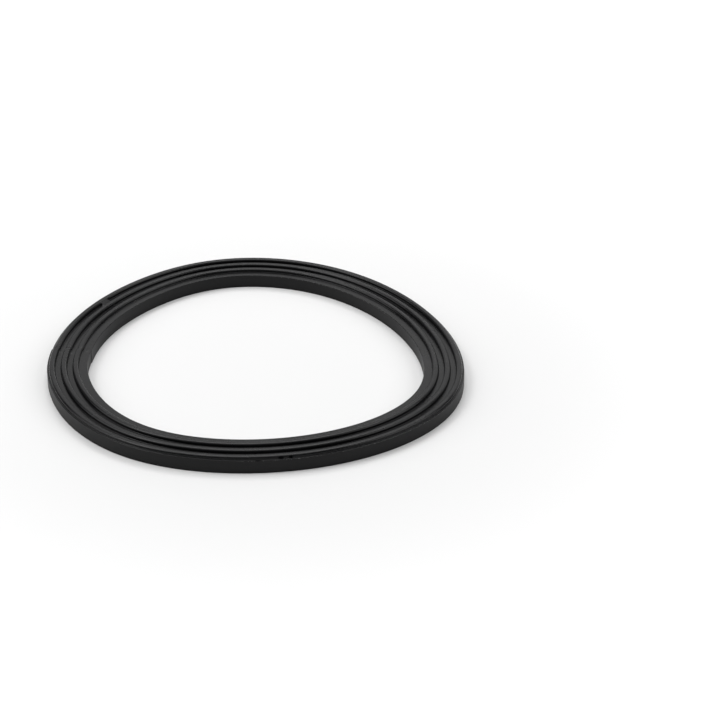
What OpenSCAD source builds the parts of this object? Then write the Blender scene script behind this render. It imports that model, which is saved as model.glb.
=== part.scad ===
// Flat ribbed gasket: one closed ring of black rubber, moulded in one piece, lying on its flat underside.
// Its top face has a narrow shoulder, concentric sealing ribs with rounded crowns, valleys between them,
// and a wide land.
// Millimetres. The origin is in the middle of the ring's length and width, at the underside.

/* [Ring] */
// Mean outside diameter of the ring
outside_d = 112; // [80:1:200]

/* [Across the band] */
// Number of sealing ribs
ribs = 3; // [2:1:5]
// Width of the shoulder between the outer wall and the first rib
shoulder_w = 0.5; // [0.5:0.1:1.5]
// Width of a rib
rib_w = 1.7; // [1.3:0.05:2.2]
// Spacing of the ribs, centre to centre
rib_pitch = 3.15; // [3:0.05:4]
// Width of the land between the last rib and the inner wall
land_w = 2.2; // [1:0.05:6]

/* [Heights] */
// Height of the rib tops above the underside
rib_h = 4.5; // [3:0.1:9]
// Drop from the rib tops to the shoulder
shoulder_drop = 0.8; // [0.5:0.05:1.3]
// Drop from the rib tops to the land
land_drop = 0.8; // [0.5:0.05:1.3]
// Depth of the valleys between the ribs
valley_depth = 1; // [0.5:0.1:2]

/* [Edges] */
// Round on each side of a rib's crown
crown_r = 0.6; // [0.1:0.05:0.6]
// Round on the corners of the outer and inner walls
edge_r = 0.15; // [0.05:0.05:0.2]
// Round in the section's inside corners, at the feet of the ribs
root_r = 0.15; // [0.05:0.05:0.3]

/* [Lie of the ring] */
// Swell of the outline at the two ends of its long axis
oval_swell = 0.9; // [0:0.05:2]
// Direction of the long axis, degrees
oval_turn = 114; // [0:1:180]
// Swell of the outline at its three blunt corners
corner_swell = 1.7; // [0:0.05:2]
// Direction of one of the three corners, degrees
corner_turn = 96; // [0:1:120]
// Swell of the outline at its four faint bulges
bulge_swell = 0.3; // [0:0.05:0.6]
// Direction of one of the four bulges, degrees
bulge_turn = 71; // [0:1:90]

/* [Hidden] */
band_w = shoulder_w + (ribs - 1) * rib_pitch + rib_w + land_w;
arcs = 12;
step = 360 / arcs;
grain = 0.01;
past = 0.1;
rubber = [0.11, 0.11, 0.115];
$fn = 96;

// A size in whole hundredths
function whole(v) = round(v / grain) * grain;

// The outline is a chain of arcs, each as wide as one step. The ring's lobes bend it more tightly at
// their tips than between them: this is how much smaller the radius is in direction a. Each set of lobes
// is taken in whole hundredths by itself, so that its arcs still balance and the chain closes exactly.
function tightening(a, count, swell, turn) = whole((count * count - 1) * swell * cos(count * (a - turn)));
function bend(a) = tightening(a, 2, oval_swell, oval_turn) + tightening(a, 3, corner_swell, corner_turn)
    + tightening(a, 4, bulge_swell, bulge_turn);

// Outside radius of arc i, which runs from spoke i to spoke i + 1
function arc_r(i) = whole(outside_d / 2) - bend((i + 0.5) * step);
function spoke(i) = [cos(i * step), sin(i * step)];

// Two arcs that meet have one tangent there, so the step from centre to centre lies along that spoke
chain = [for (i = 0, p = [0, 0]; i < arcs; p = p + (arc_r(i) - arc_r(i + 1)) * spoke(i + 1), i = i + 1) p];

// How far the outline reaches in the direction of spoke i, and the middle of its length and width
function reach(i) = chain[i] * spoke(i) + arc_r(i);
middle = [reach(0) - reach(arcs / 2), reach(arcs / 4) - reach(3 * arcs / 4)] / 2;

// Puts its child at the centre of arc i, in two moves: whole hundredths first, then what is left
module at_centre(i) {
    centre = chain[i] - middle;
    near = [whole(centre.x), whole(centre.y)];
    translate(near) translate(centre - near) children();
}

// Distance of a rib's outer side and of its inner side from the outer wall
function rib_start(n) = shoulder_w + n * rib_pitch;
function rib_end(n) = rib_start(n) + rib_w;

// The room above a floor that lies drop below the rib tops, with rounded bottom corners
module channel(from, to, drop) {
    w = to - from;
    translate([-to, rib_h - drop]) {
        translate([0, root_r]) square([w, drop - root_r + past]);
        translate([root_r, 0]) square([w - 2 * root_r, drop]);
        for (x = [root_r, w - root_r]) translate([x, root_r]) circle(root_r);
    }
}

// The sharp bit to take off a corner at distance at from the outer wall and height h, to leave a round r.
// The corner points to the outer wall where side is 1 and to the inner wall where it is -1, up where up
// is 1, else down.
module sharp_bit(at, h, r, side, up = 1) {
    translate([-at - side * r, h - up * r]) scale([side, up]) difference() {
        square(r + past / 2);
        circle(r);
    }
}

// The round of a crown beside a drop: the crown ends above the round at the rib's foot
function crown(drop) = min(crown_r, drop - root_r);

// Section of the band, with its outer wall at x = 0 and its inner wall at x = -band_w
module section() {
    difference() {
        translate([-band_w, 0]) square([band_w, rib_h]);

        channel(-shoulder_w, rib_start(0), shoulder_drop);
        for (n = [1:ribs - 1]) channel(rib_end(n - 1), rib_start(n), valley_depth);
        channel(rib_end(ribs - 1), band_w + land_w, land_drop);

        for (n = [0:ribs - 1]) {
            sharp_bit(rib_start(n), rib_h, crown(n == 0 ? shoulder_drop : valley_depth), 1);
            sharp_bit(rib_end(n), rib_h, crown(n == ribs - 1 ? land_drop : valley_depth), -1);
        }
        sharp_bit(0, rib_h - shoulder_drop, edge_r, 1);
        sharp_bit(band_w, rib_h - land_drop, edge_r, -1);
        sharp_bit(0, 0, edge_r, 1, -1);
        sharp_bit(band_w, 0, edge_r, -1, -1);
    }
}

// The ring: the same section carried along every arc of the outline
module gasket() color(rubber)
    for (i = [0:arcs - 1]) at_centre(i)
        rotate_extrude(angle = step, start = i * step) translate([arc_r(i), 0]) section();

gasket();
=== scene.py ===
"""Looks of a flat ribbed gasket: one ring of black rubber lying on a pale studio floor.

The ring is a surface of two parameters. The first is the direction, which goes once round the ring's
outline. The second is the way round the section: underside, outer wall, shoulder, ribs, valleys, land and
inner wall. All sizes of the object are in millimetres, as in the part's source, until a mesh is made.
"""

import logging
import math
from collections.abc import Mapping
from dataclasses import dataclass, field
from enum import Enum

import bpy
import numpy as np
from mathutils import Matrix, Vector
from numpy.typing import NDArray

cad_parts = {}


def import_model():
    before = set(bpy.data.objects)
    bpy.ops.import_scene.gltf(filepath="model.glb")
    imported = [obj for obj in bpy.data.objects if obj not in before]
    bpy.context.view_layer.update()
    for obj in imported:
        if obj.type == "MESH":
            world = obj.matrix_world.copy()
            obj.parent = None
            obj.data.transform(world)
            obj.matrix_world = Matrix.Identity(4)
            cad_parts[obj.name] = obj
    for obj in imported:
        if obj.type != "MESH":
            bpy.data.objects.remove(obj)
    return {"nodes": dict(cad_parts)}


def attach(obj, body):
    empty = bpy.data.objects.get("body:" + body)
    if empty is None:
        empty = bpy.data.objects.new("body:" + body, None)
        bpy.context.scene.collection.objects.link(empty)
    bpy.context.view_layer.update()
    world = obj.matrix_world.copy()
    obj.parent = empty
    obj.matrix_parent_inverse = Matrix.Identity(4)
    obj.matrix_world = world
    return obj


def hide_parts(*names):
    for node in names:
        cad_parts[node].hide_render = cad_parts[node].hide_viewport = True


Array = NDArray[np.float64]
Setting = float | int | bool | str
Input = float | tuple[float, ...] | bpy.types.NodeSocket

log = logging.getLogger("gasket")

MM = 0.001
# How near two lengths count as the same, in mm
SLACK = 0.01
# The mesh's attribute that is 1 on the upright walls and 0 on the ribbed face
WALL = "wall"
WHITE = (1.0, 1.0, 1.0, 1.0)


@dataclass(frozen=True)
class Lobe:
    """A set of equal swellings of the outline, evenly spaced round the ring.

    Attributes:
        count: How many swellings there are.
        swell: How far each one stands out from the circle, in mm.
        turn: The direction of one of them, in degrees.
    """

    count: int
    swell: float
    turn: float


@dataclass(frozen=True)
class Kink:
    """A short wave in the outline beside the splice, where the ring's two ends are slightly out of line.

    Attributes:
        turn: Its direction, in degrees.
        sway: How fast the outline moves out across it, in mm per radian.
        spread: How far it reaches to either side, in degrees.
    """

    turn: float = 178.0
    sway: float = 1.6
    spread: float = 12.0

    def _beside(self, direction: Array) -> tuple[Array, Array]:
        """The angle from the kink, in radians, and the bell that fades it out: e to the minus its square."""
        angle = (direction - math.radians(self.turn) + math.pi) % (2 * math.pi) - math.pi
        return angle, np.exp(-((angle / math.radians(self.spread)) ** 2))

    def rise(self, direction: Array) -> Array:
        """How far it moves the outline out, in mm: the sway times the angle from it, faded out."""
        angle, bell = self._beside(direction)
        return self.sway * angle * bell

    def slope(self, direction: Array) -> Array:
        """The derivative of the rise."""
        angle, bell = self._beside(direction)
        return self.sway * bell * (1 - 2 * (angle / math.radians(self.spread)) ** 2)


@dataclass(frozen=True)
class Outline:
    """The ring's outer outline as it lies, seen from above.

    Attributes:
        outside_d: Mean outside diameter, in mm.
        lobes: What makes the outline depart from a circle.
        kink: The wave beside the splice.
    """

    outside_d: float = 112.0
    lobes: tuple[Lobe, ...] = (
        Lobe(2, 0.88, 114.2),
        Lobe(3, 1.53, 96.2),
        Lobe(4, 0.25, 71.2),
        Lobe(5, 0.10, 38.2),
        Lobe(6, 0.10, 54.7),
    )
    kink: Kink = field(default_factory=Kink)

    def reach(self, direction: Array) -> Array:
        """How far the outline reaches in each direction.

        It is the mean radius plus, for each lobe, the swell times the cosine of count times the angle from
        the lobe's turn, plus the kink.

        Args:
            direction: Directions in radians.

        Returns:
            The distance from the ring's centre to the tangent square to each direction, in mm.
        """
        total = np.full_like(direction, self.outside_d / 2)
        for lobe in self.lobes:
            total += lobe.swell * np.cos(lobe.count * (direction - math.radians(lobe.turn)))
        return total + self.kink.rise(direction)

    def drift(self, direction: Array) -> Array:
        """The derivative of the reach.

        Args:
            direction: Directions in radians.

        Returns:
            How far the point that touches the tangent lies to the side of each direction, in mm.
        """
        total = np.zeros_like(direction)
        for lobe in self.lobes:
            total -= lobe.count * lobe.swell * np.sin(lobe.count * (direction - math.radians(lobe.turn)))
        return total + self.kink.slope(direction)

    def middle(self) -> Array:
        """The middle of the outline's length and width, from the ring's centre, in mm."""
        east, north, west, south = self.reach(np.radians([0.0, 90.0, 180.0, 270.0]))
        return np.array([east - west, north - south]) / 2

    def place(self, direction: Array, inset: Array) -> Array:
        """Points of the curves that run parallel to the outline, inside it.

        A point is (reach - inset) along the direction plus the drift square to it, less the middle.

        Args:
            direction: Directions in radians.
            inset: Distance in from the outline in mm, of a shape that fits the directions.

        Returns:
            The points, with x and y in mm along the last axis.
        """
        along = np.stack([np.cos(direction), np.sin(direction)], axis=-1)
        aside = np.stack([-np.sin(direction), np.cos(direction)], axis=-1)
        out = (self.reach(direction) - inset)[..., None] * along
        return out + self.drift(direction)[..., None] * aside - self.middle()


@dataclass(frozen=True)
class Section:
    """The band's section, with the sizes of the part's source, in mm.

    The sizes run from the outer wall inwards: a shoulder, ribs at an even pitch with valleys between them,
    and a land along the inner wall. Each round is drawn with round_steps faces.
    """

    ribs: int = 3
    shoulder_w: float = 0.5
    rib_w: float = 1.7
    rib_pitch: float = 3.15
    land_w: float = 2.2
    rib_h: float = 4.5
    shoulder_drop: float = 0.8
    land_drop: float = 0.8
    valley_depth: float = 1.0
    crown_r: float = 0.6
    edge_r: float = 0.15
    root_r: float = 0.15
    round_steps: int = 5

    @property
    def band_w(self) -> float:
        """Width of the band, from the outer wall to the inner wall."""
        return self.shoulder_w + (self.ribs - 1) * self.rib_pitch + self.rib_w + self.land_w

    def corners(self) -> tuple[Array, Array]:
        """The section's sharp corners, in order from the foot of the outer wall over the top.

        Returns:
            The corners as inset and height, and the round on each of them, in mm.
        """
        shoulder = self.rib_h - self.shoulder_drop
        land = self.rib_h - self.land_drop
        valley = self.rib_h - self.valley_depth
        starts = self.shoulder_w + self.rib_pitch * np.arange(self.ribs)
        ends = starts + self.rib_w
        before = np.r_[shoulder, np.full(self.ribs - 1, valley)]
        after = np.r_[np.full(self.ribs - 1, valley), land]
        top = np.full(self.ribs, self.rib_h)
        over_ribs = np.stack([starts, before, starts, top, ends, top, ends, after], axis=1).reshape(-1, 2)
        corners = np.vstack([[0.0, 0.0], [0.0, shoulder], over_ribs, [self.band_w, land], [self.band_w, 0.0]])
        rounds = np.r_[
            [self.edge_r] * 2,
            np.tile([self.root_r, self.crown_r, self.crown_r, self.root_r], self.ribs),
            [self.edge_r] * 2,
        ]
        return corners, rounds

    def profile(self) -> tuple[Array, Array]:
        """The rounded section.

        Each corner gives way to a quarter circle that is tangent to both its sides: its centre lies one
        radius back along the way in and one radius on along the way out.

        Returns:
            The points as inset and height in mm, and the section's heading at each, as parts of 1.
        """
        corners, rounds = self.corners()
        way_out = np.roll(corners, -1, axis=0) - corners
        way_out /= np.linalg.norm(way_out, axis=1, keepdims=True)
        way_in = np.roll(way_out, 1, axis=0)
        turn = np.linspace(0, math.pi / 2, self.round_steps + 1)[None, :, None]
        way_in, way_out = way_in[:, None, :], way_out[:, None, :]
        size = rounds[:, None, None]
        centre = corners[:, None, :] + size * (way_out - way_in)
        points = centre + size * (way_in * np.sin(turn) - way_out * np.cos(turn))
        heading = way_in * np.cos(turn) + way_out * np.sin(turn)
        return points.reshape(-1, 2), heading.reshape(-1, 2)


def ramp(value: Array, start: float, end: float) -> Array:
    """A smooth step from 0 at the start to 1 at the end: 3 t squared less 2 t cubed, with t the share of the way.

    Args:
        value: Where to read it.
        start: The value up to which it is 0.
        end: The value from which it is 1.

    Returns:
        The step, of the shape of the value.
    """
    t = np.clip((value - start) / (end - start), 0.0, 1.0)
    return t * t * (3 - 2 * t)


@dataclass(frozen=True)
class Splice:
    """The joint where the cord's two ends were bonded into a ring, and the flash that was left beside it.

    Along the cut the rib tops are creased, the band lies a little further in before it and further out past
    it, and a film of flash lies in the valleys on both sides. A lump of flash is left further back, in the
    first valley and on the inner half of the rib beside it.

    Attributes:
        turn: Direction of the cut, in degrees.
        crease: Depth of the crease in mm.
        crease_w: Half width of the crease in mm.
        jog: How far each side of the cut is out of line, in mm.
        jog_end: How far along the ring the jog takes to fade, in mm.
        film: Share of the valleys' depth that the flash fills.
        film_span: From how far before the cut to how far past it the flash lies, in mm.
        film_fade: How long the film takes to thin out at each end, in mm.
        lump: Share of the first valley's depth that the lump of flash fills.
        lump_span: Directions between which the lump lies, in degrees.
        lump_fade: How long the lump takes to rise at its start and to fall at its end, in degrees.
        lump_margin: How far the mesh is made finer beyond the lump, in degrees.
        cut_margin: How far the mesh is made finer before and past the cut, in degrees.
        radius: Radius of the middle of the band, to turn angles to mm.
    """

    turn: float = 173.6
    crease: float = 0.2
    crease_w: float = 0.22
    jog: float = 0.1
    jog_end: float = 4.0
    film: float = 0.3
    film_span: tuple[float, float] = (-0.8, 1.3)
    film_fade: float = 0.2
    lump: float = 0.85
    lump_span: tuple[float, float] = (145.3, 148.9)
    lump_fade: tuple[float, float] = (1.5, 0.2)
    lump_margin: float = 0.5
    cut_margin: tuple[float, float] = (3.0, 4.0)
    radius: float = 52.0

    def zones(self) -> tuple[tuple[float, float], ...]:
        """The directions in degrees between which the mesh is made finer, as pairs of start and end."""
        (begin, end), (before, past) = self.lump_span, self.cut_margin
        return (begin - self.lump_margin, end + self.lump_margin), (self.turn - before, self.turn + past)

    def shape(self, section: Section, direction: Array, inset: Array, height: Array) -> tuple[Array, Array]:
        """Moves points of the plain band to where the splice and its flash have them.

        With s the way along the ring past the cut, the inset loses jog * tanh(s / crease_w) * e to the minus
        |s| / jog_end. The height loses crease * e to the minus (s / crease_w) squared, in full on the ribs
        and not at all in the valleys. Where flash fills a share f of the room below some level, the height h
        is f * level + (1 - f) * h. That level is the foot of the crowns for the film and the rib tops for
        the lump, which slopes down from the first rib to the foot of the second.

        Args:
            section: The band's section.
            direction: Directions in radians.
            inset: Distances in from the outline in mm, of the same shape.
            height: Heights in mm, of the same shape.

        Returns:
            The new insets and heights.
        """
        turn = np.degrees(direction)
        past = np.radians(turn - self.turn) * self.radius
        top, foot, floor = (section.rib_h - drop for drop in (0.0, section.crown_r, section.valley_depth))
        first = section.shoulder_w + section.rib_w
        last = section.shoulder_w + (section.ribs - 1) * section.rib_pitch
        over_floor = height > floor - SLACK
        in_valley = over_floor & (inset > first - SLACK) & (inset < last + SLACK) & (height < foot)
        (begin, end), fade = self.film_span, self.film_fade
        film = self.film * in_valley * ramp(past, begin - fade, begin) * ramp(-past, -end - fade, -end)
        height_filled = film * foot + (1 - film) * height
        (begin, end), (rise, fall) = self.lump_span, self.lump_fade
        beside = over_floor & (inset > first - section.rib_w / 2)
        slope = ramp(-inset, section.root_r - section.shoulder_w - section.rib_pitch, -section.root_r - first)
        lump = self.lump * beside * slope * ramp(turn, begin, begin + rise) * ramp(-turn, -end, -end + fall)
        height_filled = lump * top + (1 - lump) * height_filled
        jog = self.jog * np.tanh(past / self.crease_w) * np.exp(-np.abs(past) / self.jog_end)
        on_rib = np.clip((height - floor) / section.valley_depth, 0.0, 1.0)
        dip = self.crease * np.exp(-((past / self.crease_w) ** 2)) * on_rib
        return inset - jog, height_filled - dip


def srgb(hex_colour: str) -> tuple[float, float, float, float]:
    """Turns an sRGB hex colour such as "#1c1c1d" to Blender's linear values.

    Args:
        hex_colour: A hash and six hex digits.

    Returns:
        Linear red, green and blue, and an alpha of 1.
    """
    parts = np.array([int(hex_colour[i : i + 2], 16) for i in (1, 3, 5)]) / 255
    linear = np.where(parts <= 0.04045, parts / 12.92, ((parts + 0.055) / 1.055) ** 2.4)
    return (*linear.tolist(), 1.0)


def add_node(
    tree: bpy.types.NodeTree,
    kind: str,
    settings: Mapping[str, Setting] | None = None,
    inputs: Mapping[str | int, Input] | None = None,
) -> bpy.types.Node:
    """Adds a node, sets it up and links it.

    Args:
        tree: The node tree that it goes into.
        kind: The node's type, such as "ShaderNodeTexNoise".
        settings: The node's own properties.
        inputs: For each input socket, by name or place, a value or the output socket that feeds it.

    Returns:
        The new node.
    """
    node = tree.nodes.new(kind)
    for name, value in (settings or {}).items():
        setattr(node, name, value)
    for name, value in (inputs or {}).items():
        if isinstance(value, bpy.types.NodeSocket):
            tree.links.new(value, node.inputs[name])
        else:
            node.inputs[name].default_value = value
    return node


def new_material(name: str) -> bpy.types.Material:
    """Adds a material with an empty node tree.

    Args:
        name: The material's name.

    Returns:
        The new material.
    """
    material = bpy.data.materials.new(name)
    material.use_nodes = True
    material.node_tree.nodes.clear()
    return material


@dataclass(frozen=True)
class Mark:
    """A small mark on the rubber: an ellipsoid inside which black is painted as the shade of a nick or score.

    The mesh is not cut there.

    Attributes:
        place: Its middle as x, y and z in mm, in the part's frame.
        reach: How far it reaches from there along its own x, y and z, in mm.
        turn: How far it is turned about the upright, in degrees.
        strength: How dark its painted shade is, from 0 to 1.
    """

    place: tuple[float, float, float]
    reach: tuple[float, float, float]
    turn: float = 0.0
    strength: float = 1.0

    def mask(self, tree: bpy.types.NodeTree, place: bpy.types.NodeSocket) -> bpy.types.NodeSocket:
        """A value that rises from 0 at the ellipsoid to the mark's strength half-way in.

        Args:
            tree: The material's node tree.
            place: Object coordinates, in metres.

        Returns:
            The value.
        """
        local = add_node(
            tree,
            "ShaderNodeMapping",
            {"vector_type": "TEXTURE"},
            {
                "Vector": place,
                "Location": tuple(v * MM for v in self.place),
                "Rotation": (0.0, 0.0, math.radians(self.turn)),
                "Scale": tuple(v * MM for v in self.reach),
            },
        )
        ball = add_node(
            tree,
            "ShaderNodeTexGradient",
            {"gradient_type": "SPHERICAL"},
            {"Vector": local.outputs["Vector"]},
        )
        level = {"Value": ball.outputs["Fac"], "From Max": 0.5, "To Max": self.strength}
        return add_node(tree, "ShaderNodeMapRange", inputs=level).outputs["Result"]


# Painted shade of two nicks at the foot of the first rib, a score on the shoulder, and four short scores on the land
MARKS = (
    Mark(place=(8.1, -55.3, 3.95), reach=(0.9, 0.6, 0.5), strength=0.9),
    Mark(place=(10.62, -55.0, 3.95), reach=(0.8, 0.6, 0.45), strength=0.9),
    Mark(place=(2.52, -56.45, 3.7), reach=(1.2, 0.35, 0.2), strength=0.8),
    Mark(place=(-45.54, 2.06, 3.7), reach=(1.2, 0.22, 0.4), strength=0.35),
    Mark(place=(-44.96, 4.55, 3.7), reach=(0.7, 0.2, 0.4), strength=0.35),
    Mark(place=(-44.53, 6.26, 3.7), reach=(0.9, 0.2, 0.4), turn=-8.0, strength=0.35),
    Mark(place=(-42.68, 10.86, 3.7), reach=(0.5, 0.2, 0.4), strength=0.35),
)


@dataclass(frozen=True)
class MouldedRubber:
    """Black rubber, pressed in a mould with a finely blasted surface.

    It is almost black, with a soft wide sheen: flat faces turn grey where they mirror the studio at a low
    angle, and faces that look at the camera stay dark. The upright walls are duller than the ribbed face, and
    along their top edges light grey specks are painted as highlights, where the edges catch the light. The
    sheen breaks up a little, in a fine grain left by the mould and in faint clouds where the rubber has been
    handled. A few scores and nicks are painted near black as their shade, and have no sheen. The mesh is not
    cut there.

    Attributes:
        black: Colour of the rubber.
        dust: Colour of the faint bloom on it.
        painted_glint: Colour of the painted highlights: specks along the walls' top edges, where they catch the
            light.
        nick_shade: Colour of the painted shade inside the marks.
        ior: Index of refraction of the rubber's skin.
        specular: Level of the skin's shine. It falls to nothing inside the marks.
        roughness: Roughness of the ribbed face, where it is handled least and most.
        wall_roughness: Roughness of the walls.
        cloud: Size of the handled clouds in mm.
        cloud_detail: How many finer layers they have.
        rough_span: Values of the clouds between which the roughness changes.
        dust_span: Values of the clouds between which the bloom sets in.
        dust_share: Share of the bloom's colour where there is most of it.
        grain: Spacing of the mould's grain in mm. The real one is finer and wouldn't show.
        grain_detail: How many finer layers it has.
        grain_depth: Its depth in mm.
        grain_share: Share of that depth by which it bends the light.
        speck_size: Size of the specks in mm.
        speck_detail: How many finer layers they have.
        speck_span: Values of their noise between which a speck sets in.
        speck_band: Heights in mm between which the specks lie.
        speck_fade: How far they take to set in at the lower height and to end at the upper one, in mm.
        speck_from: They set in at the first of these and are all there from the second, as x in mm.
        marks: The scores and nicks, whose shade is painted.
    """

    black: str = "#0e0e0f"
    dust: str = "#161617"
    painted_glint: str = "#666666"
    nick_shade: str = "#020202"
    ior: float = 1.32
    specular: float = 0.5
    roughness: tuple[float, float] = (0.21, 0.3)
    wall_roughness: float = 0.5
    cloud: float = 14.0
    cloud_detail: float = 4.0
    rough_span: tuple[float, float] = (0.3, 0.7)
    dust_span: tuple[float, float] = (0.45, 0.75)
    dust_share: float = 0.35
    grain: float = 0.45
    grain_detail: float = 2.0
    grain_depth: float = 0.01
    grain_share: float = 0.25
    speck_size: float = 0.3
    speck_detail: float = 1.0
    speck_span: tuple[float, float] = (0.55, 0.65)
    speck_band: tuple[float, float] = (3.4, 3.75)
    speck_fade: tuple[float, float] = (0.2, 0.1)
    speck_from: tuple[float, float] = (-7.0, 1.0)
    marks: tuple[Mark, ...] = MARKS

    def build(self) -> bpy.types.Material:
        """Makes the material.

        Returns:
            The material, with its patterns on Object coordinates.
        """
        material = new_material("moulded_black_rubber")
        tree = material.node_tree
        place = add_node(tree, "ShaderNodeTexCoord").outputs["Object"]
        wall = add_node(tree, "ShaderNodeAttribute", {"attribute_name": WALL}).outputs["Fac"]
        cloud = {"Vector": place, "Scale": 1 / (self.cloud * MM), "Detail": self.cloud_detail}
        clouds = add_node(tree, "ShaderNodeTexNoise", inputs=cloud).outputs["Fac"]
        marks = self._painted_marks(tree, place)
        # Inside the marks the sheen goes, as part of their painted shade
        shine = {"Value": marks, "To Min": self.specular, "To Max": 0.0}
        shader = add_node(
            tree,
            "ShaderNodeBsdfPrincipled",
            inputs={
                # The base colour carries light grey specks painted as highlights along the walls' top edges
                "Base Color": self._colour(tree, clouds, self._painted_glints(tree, place, wall), marks),
                "Roughness": self._roughness(tree, clouds, wall),
                "IOR": self.ior,
                "Specular IOR Level": add_node(tree, "ShaderNodeMapRange", inputs=shine).outputs["Result"],
                "Normal": self._grain(tree, place),
            },
        )
        add_node(tree, "ShaderNodeOutputMaterial", inputs={"Surface": shader.outputs["BSDF"]})
        return material

    def _colour(
        self,
        tree: bpy.types.NodeTree,
        clouds: bpy.types.NodeSocket,
        glints: bpy.types.NodeSocket,
        marks: bpy.types.NodeSocket,
    ) -> bpy.types.NodeSocket:
        """The rubber's black under a layer of bloom, the specks of painted highlight and the painted shade of the
        marks, in that order.

        Args:
            tree: The material's node tree.
            clouds: The value of the handled clouds.
            glints: How far the specks of painted highlight cover the surface, from 0 to 1.
            marks: How far the marks' painted shade blackens it, from 0 to 1.

        Returns:
            The colour.
        """
        start, end = self.dust_span
        dusty = {"Value": clouds, "From Min": start, "From Max": end, "To Max": self.dust_share}
        bloom = add_node(tree, "ShaderNodeMapRange", inputs=dusty).outputs["Result"]
        colour: Input = srgb(self.black)
        # The Mix node's colours are its inputs 6 and 7 and its output 2
        # The specks are light grey painted as highlights where the walls' top edges catch the light
        for share, over in ((bloom, self.dust), (glints, self.painted_glint), (marks, self.nick_shade)):
            layer = {"Factor": share, 6: colour, 7: srgb(over)}
            colour = add_node(tree, "ShaderNodeMix", {"data_type": "RGBA"}, layer).outputs[2]
        return colour

    def _roughness(
        self, tree: bpy.types.NodeTree, clouds: bpy.types.NodeSocket, wall: bpy.types.NodeSocket
    ) -> bpy.types.NodeSocket:
        """The ribbed face's roughness, which varies with the clouds, or the walls' own.

        Args:
            tree: The material's node tree.
            clouds: The value of the handled clouds.
            wall: A value of 1 on the walls.

        Returns:
            The roughness.
        """
        (start, end), (least, most) = self.rough_span, self.roughness
        handled = {"Value": clouds, "From Min": start, "From Max": end, "To Min": least, "To Max": most}
        face = add_node(tree, "ShaderNodeMapRange", inputs=handled).outputs["Result"]
        # The Mix node's numbers are its inputs 2 and 3 and its output 0
        either = {"Factor": wall, 2: face, 3: self.wall_roughness}
        return add_node(tree, "ShaderNodeMix", {"data_type": "FLOAT"}, either).outputs[0]

    def _grain(self, tree: bpy.types.NodeTree, place: bpy.types.NodeSocket) -> bpy.types.NodeSocket:
        """The normal, bent by the mould's grain.

        Args:
            tree: The material's node tree.
            place: Object coordinates, in metres.

        Returns:
            The normal.
        """
        grain = {"Vector": place, "Scale": 1 / (self.grain * MM), "Detail": self.grain_detail}
        height = add_node(tree, "ShaderNodeTexNoise", inputs=grain).outputs["Fac"]
        bump = {"Height": height, "Strength": self.grain_share, "Distance": self.grain_depth * MM}
        return add_node(tree, "ShaderNodeBump", inputs=bump).outputs["Normal"]

    def _painted_glints(
        self, tree: bpy.types.NodeTree, place: bpy.types.NodeSocket, wall: bpy.types.NodeSocket
    ) -> bpy.types.NodeSocket:
        """A value of 1 in the scattered specks of painted highlight near the top of the walls, from some x on, else
        0.

        Args:
            tree: The material's node tree.
            place: Object coordinates, in metres.
            wall: A value of 1 on the walls.

        Returns:
            The value.
        """
        (low, high), (rise, fall), (start, end) = self.speck_band, self.speck_fade, self.speck_from
        painted_glint = {"Vector": place, "Scale": 1 / (self.speck_size * MM), "Detail": self.speck_detail}
        noise = add_node(tree, "ShaderNodeTexNoise", inputs=painted_glint).outputs["Fac"]
        spot = add_node(tree, "ShaderNodeSeparateXYZ", inputs={"Vector": place}).outputs
        limits = (
            (noise, *self.speck_span),
            (spot["Z"], low * MM, (low + rise) * MM),
            (spot["Z"], high * MM, (high - fall) * MM),
            (spot["X"], start * MM, end * MM),
        )
        # The specks paint highlights on the walls' top edges, where they catch the light
        total = wall
        for value, none, full in limits:
            limit = {"Value": value, "From Min": none, "From Max": full}
            part = add_node(tree, "ShaderNodeMapRange", inputs=limit).outputs["Result"]
            total = add_node(tree, "ShaderNodeMath", {"operation": "MULTIPLY"}, {0: total, 1: part}).outputs["Value"]
        return total

    def _painted_marks(self, tree: bpy.types.NodeTree, place: bpy.types.NodeSocket) -> bpy.types.NodeSocket:
        """How far the marks' painted shade blackens the surface, from 0 to 1.

        Args:
            tree: The material's node tree.
            place: Object coordinates, in metres.

        Returns:
            The value.
        """
        # The marks are near black painted as the shade of nicks and scores, which the mesh does not have
        total, *rest = [mark.mask(tree, place) for mark in self.marks]
        for mask in rest:
            total = add_node(tree, "ShaderNodeMath", {"operation": "MAXIMUM"}, {0: total, 1: mask}).outputs["Value"]
        return total


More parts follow.
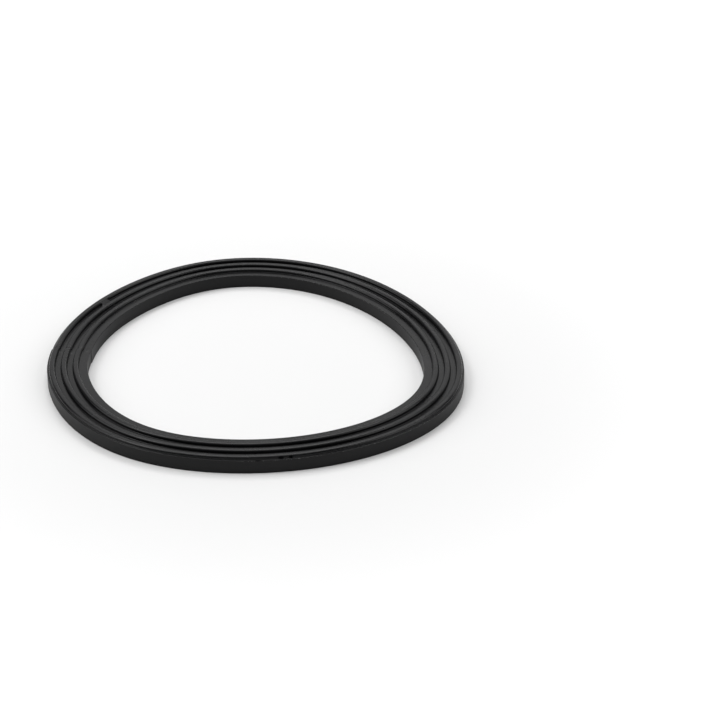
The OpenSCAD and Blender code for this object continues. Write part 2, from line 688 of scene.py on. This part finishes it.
@dataclass
class Gasket:
    """The ring: its section carried round its outline.

    Attributes:
        outline: The outline that it follows.
        section: The section of the band.
        splice: The joint and its flash.
        finish: What it is made of.
        steps: How many sections there are round the ring.
        fine_step: Angle between the added sections near the splice and the lump, in degrees.
    """

    outline: Outline = field(default_factory=Outline)
    section: Section = field(default_factory=Section)
    splice: Splice = field(default_factory=Splice)
    finish: MouldedRubber = field(default_factory=MouldedRubber)
    steps: int = 720
    fine_step: float = 0.12

    def build(self) -> bpy.types.Object:
        """Makes the ring, dresses it and sets it in the place of the CAD solid.

        Returns:
            The ring's object.
        """
        ring = self._mesh_object()
        ring.data.materials.append(self.finish.build())
        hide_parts("gasket")
        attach(ring, "root")
        return ring

    def _directions(self) -> Array:
        """Spaces the sections round the ring, closer together near the splice and the lump.

        Returns:
            Their directions in radians.
        """
        plain = np.arange(self.steps) * 360 / self.steps
        fine = [np.arange(start, end, self.fine_step) for start, end in self.splice.zones()]
        return np.radians(np.unique(np.concatenate([plain, *fine]).round(6)))

    def _place(self, direction: Array, inset: Array, height: Array) -> Array:
        """Where points of the band lie in the ring, in mm, as x, y and z along a last axis."""
        inset, height = self.splice.shape(self.section, direction, inset, height)
        return np.concatenate([self.outline.place(direction, inset), height[..., None]], axis=-1)

    def _surface(self) -> tuple[Array, Array, Array]:
        """The ring's points, as grids of section by point of the section.

        The point at direction a and profile point (inset, height) is the outline's parallel curve at that
        inset, raised by the height and moved by the splice. The normal is the cross product of two small
        steps from it: one along the ring, and one on along the section.

        Returns:
            The points in m, their outward normals, and a 1 for each point on a wall and a 0 for the others.
        """
        direction = self._directions()[:, None]
        profile, heading = self.section.profile()
        shape = (len(direction), len(profile))
        direction, inset, height = (np.broadcast_to(a, shape) for a in (direction, profile[:, 0], profile[:, 1]))
        nudge = 0.001
        points = self._place(direction, inset, height)
        along = self._place(direction + nudge / self.splice.radius, inset, height) - points
        across = self._place(direction, inset + nudge * heading[:, 0], height + nudge * heading[:, 1]) - points
        normals = np.cross(along, across)
        normals /= np.linalg.norm(normals, axis=-1, keepdims=True)
        edge = np.minimum(profile[:, 0], self.section.band_w - profile[:, 0]) < SLACK
        return points * MM, normals, np.broadcast_to(edge.astype(float), shape)

    def _mesh_object(self) -> bpy.types.Object:
        """Turns the surface into a closed mesh of quads with its own smooth normals.

        Returns:
            The object, at the origin.
        """
        points, normals, wall = self._surface()
        rows, columns = points.shape[:2]
        index = np.arange(rows * columns).reshape(rows, columns)
        on = np.roll(index, -1, axis=0)
        quads = np.stack([index, on, np.roll(on, -1, axis=1), np.roll(index, -1, axis=1)], axis=-1).reshape(-1, 4)
        mesh = bpy.data.meshes.new("gasket_ring")
        mesh.vertices.add(rows * columns)
        mesh.vertices.foreach_set("co", points.astype(np.float32).ravel())
        mesh.loops.add(quads.size)
        mesh.loops.foreach_set("vertex_index", quads.ravel().astype(np.int32))
        mesh.polygons.add(len(quads))
        mesh.polygons.foreach_set("loop_start", np.arange(0, quads.size, 4, dtype=np.int32))
        mesh.polygons.foreach_set("use_smooth", np.ones(len(quads), dtype=bool))
        mesh.update(calc_edges=True)
        mesh.validate()
        mesh.attributes.new(WALL, "FLOAT", "POINT").data.foreach_set("value", wall.astype(np.float32).ravel())
        mesh.normals_split_custom_set_from_vertices(normals.reshape(-1, 3).astype(np.float32))
        ring = bpy.data.objects.new("gasket_ring", mesh)
        bpy.context.scene.collection.objects.link(ring)
        return ring


class Lamp(Enum):
    """The studio's soft boxes, aimed at the origin: place in m, width and height in m, and power in W."""

    TOP = ((0.0, 0.03, 1.20), (0.7, 1.1), 5.0)
    STRIP = ((0.02, 0.705, 0.97), (0.6, 0.4), 4.6)
    BACK = ((0.16, 1.09, 0.475), (2.1, 0.6), 2.9)
    GLINT = ((0.154, 1.0, 0.265), (0.13, 0.21), 0.14)
    LEFT = ((-0.89, -0.01, 0.80), (1.0, 1.24), 8.0)
    LEFT_TOP = ((-0.65, 0.02, 1.01), (0.38, 0.38), 2.7)
    RIGHT = ((0.935, -0.075, 0.75), (1.04, 0.8), 6.0)


@dataclass
class Studio:
    """A pale floor, soft light and a camera at the photograph's angle.

    Attributes:
        floor_size: Side of the floor in m.
        floor: Colour of the floor.
        lift: What the floor adds for the camera and for mirrors, so that it shows as white: by the object,
            where the shadow stays, and further off.
        lift_span: From how far off to how far off that rises, in m.
        world: Strength of the light from all round.
        focal: The camera's focal length in mm.
        sensor: Width of the camera's sensor in mm.
        clip: How near and how far the camera sees, in m.
        pitch: How far the camera looks down, in degrees.
        distance: From the camera to the point it looks at, in mm.
        target: That point on the floor, in mm from the ring's centre.
    """

    floor_size: float = 8.0
    floor: str = "#d6d6d6"
    lift: tuple[float, float] = (0.06, 0.25)
    lift_span: tuple[float, float] = (0.06, 0.17)
    world: float = 0.08
    focal: float = 127.5
    sensor: float = 36.0
    clip: tuple[float, float] = (0.01, 100.0)
    pitch: float = 28.77
    distance: float = 690.0
    target: tuple[float, float] = (28.218, 3.998)

    def build(self, outline: Outline) -> None:
        """Makes the floor, the lamps, the world and the camera.

        Args:
            outline: The ring's outline, whose middle is the frame's origin.
        """
        self._floor()
        self._world()
        for lamp in Lamp:
            self._lamp(lamp)
        self._camera(outline)

    def _floor(self) -> None:
        """A flat floor, white to the camera and shaded by the object."""
        half = self.floor_size / 2
        mesh = bpy.data.meshes.new("studio_floor")
        corners = [(-half, -half, 0.0), (half, -half, 0.0), (half, half, 0.0), (-half, half, 0.0)]
        mesh.from_pydata(corners, [], [(0, 1, 2, 3)])
        floor = bpy.data.objects.new("studio_floor", mesh)
        bpy.context.scene.collection.objects.link(floor)
        material = new_material("white_paper_sweep")
        tree = material.node_tree
        paper = add_node(tree, "ShaderNodeBsdfDiffuse", inputs={"Color": srgb(self.floor)})
        place = add_node(tree, "ShaderNodeTexCoord").outputs["Object"]
        off = add_node(tree, "ShaderNodeVectorMath", {"operation": "LENGTH"}, {0: place}).outputs["Value"]
        (near, far), (start, end) = self.lift, self.lift_span
        rise = {"Value": off, "From Min": start, "From Max": end, "To Min": near, "To Max": far}
        lift = add_node(tree, "ShaderNodeMapRange", {"interpolation_type": "SMOOTHSTEP"}, rise).outputs["Result"]
        strength = add_node(tree, "ShaderNodeMath", {"operation": "MULTIPLY"}, {0: self._seen(tree), 1: lift})
        glow = add_node(tree, "ShaderNodeEmission", inputs={"Color": WHITE, "Strength": strength.outputs["Value"]})
        both = add_node(tree, "ShaderNodeAddShader", inputs={0: paper.outputs["BSDF"], 1: glow.outputs["Emission"]})
        add_node(tree, "ShaderNodeOutputMaterial", inputs={"Surface": both.outputs["Shader"]})
        mesh.materials.append(material)

    def _world(self) -> None:
        """Even light from all round, and white where the camera looks past the floor."""
        world = bpy.data.worlds.new("soft_white_studio")
        bpy.context.scene.world = world
        world.use_nodes = True
        tree = world.node_tree
        tree.nodes.clear()
        level = {"Value": self._seen(tree, glossy=False), "To Min": self.world, "To Max": 1.0}
        strength = add_node(tree, "ShaderNodeMapRange", inputs=level).outputs["Result"]
        light = add_node(tree, "ShaderNodeBackground", inputs={"Color": WHITE, "Strength": strength})
        add_node(tree, "ShaderNodeOutputWorld", inputs={"Surface": light.outputs["Background"]})

    @staticmethod
    def _seen(tree: bpy.types.NodeTree, glossy: bool = True) -> bpy.types.NodeSocket:
        """A value of 1 for rays that come straight from the camera, through glass or off a glossy surface, else 0.

        Args:
            tree: The node tree that reads the rays.
            glossy: Whether rays off a glossy surface count.

        Returns:
            The value.
        """
        path = add_node(tree, "ShaderNodeLightPath")
        kinds = ["Is Camera Ray", "Is Transmission Ray"] + (["Is Glossy Ray"] if glossy else [])
        seen = path.outputs[kinds[0]]
        for kind in kinds[1:]:
            total = add_node(tree, "ShaderNodeMath", {"operation": "MAXIMUM"}, {0: seen, 1: path.outputs[kind]})
            seen = total.outputs["Value"]
        return seen

    @staticmethod
    def _lamp(lamp: Lamp) -> None:
        """Hangs up a soft box and turns it to the origin.

        Args:
            lamp: Which one.
        """
        place, (width, height), power = lamp.value
        name = f"softbox_{lamp.name.lower()}"
        light = bpy.data.lights.new(name, "AREA")
        light.shape, light.size, light.size_y, light.energy = "RECTANGLE", width, height, power
        box = bpy.data.objects.new(name, light)
        box.location = place
        box.rotation_euler = (-Vector(place)).to_track_quat("-Z", "Y").to_euler()
        bpy.context.scene.collection.objects.link(box)

    def _camera(self, outline: Outline) -> None:
        """Puts the camera where the photograph was taken from.

        Args:
            outline: The ring's outline, whose middle is the frame's origin.
        """
        camera = bpy.data.cameras.new("studio_camera")
        camera.lens, camera.sensor_width = self.focal, self.sensor
        camera.clip_start, camera.clip_end = self.clip
        eye = bpy.data.objects.new("studio_camera", camera)
        down = math.radians(self.pitch)
        x, y = np.array(self.target) - outline.middle()
        back = self.distance
        eye.location = (x * MM, (y - back * math.cos(down)) * MM, back * math.sin(down) * MM)
        eye.rotation_euler = (math.pi / 2 - down, 0.0, 0.0)
        bpy.context.scene.collection.objects.link(eye)
        bpy.context.scene.camera = eye


def main() -> None:
    """Loads the frame, builds the ring and the studio, and logs the frame's parts, the ring's faces and the band's
    width.
    """
    logging.basicConfig(level=logging.INFO, format="%(name)s: %(message)s")
    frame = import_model()
    log.info("frame: %s", ", ".join(frame["nodes"]))
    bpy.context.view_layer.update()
    bpy.context.scene.view_settings.view_transform = "Standard"
    gasket = Gasket()
    ring = gasket.build()
    log.info("%s: %d faces, band %.2f mm wide", ring.name, len(ring.data.polygons), gasket.section.band_w)
    Studio().build(gasket.outline)
    log.info("studio: floor, %d soft boxes, camera", len(Lamp))


if __name__ == "__main__":
    main()
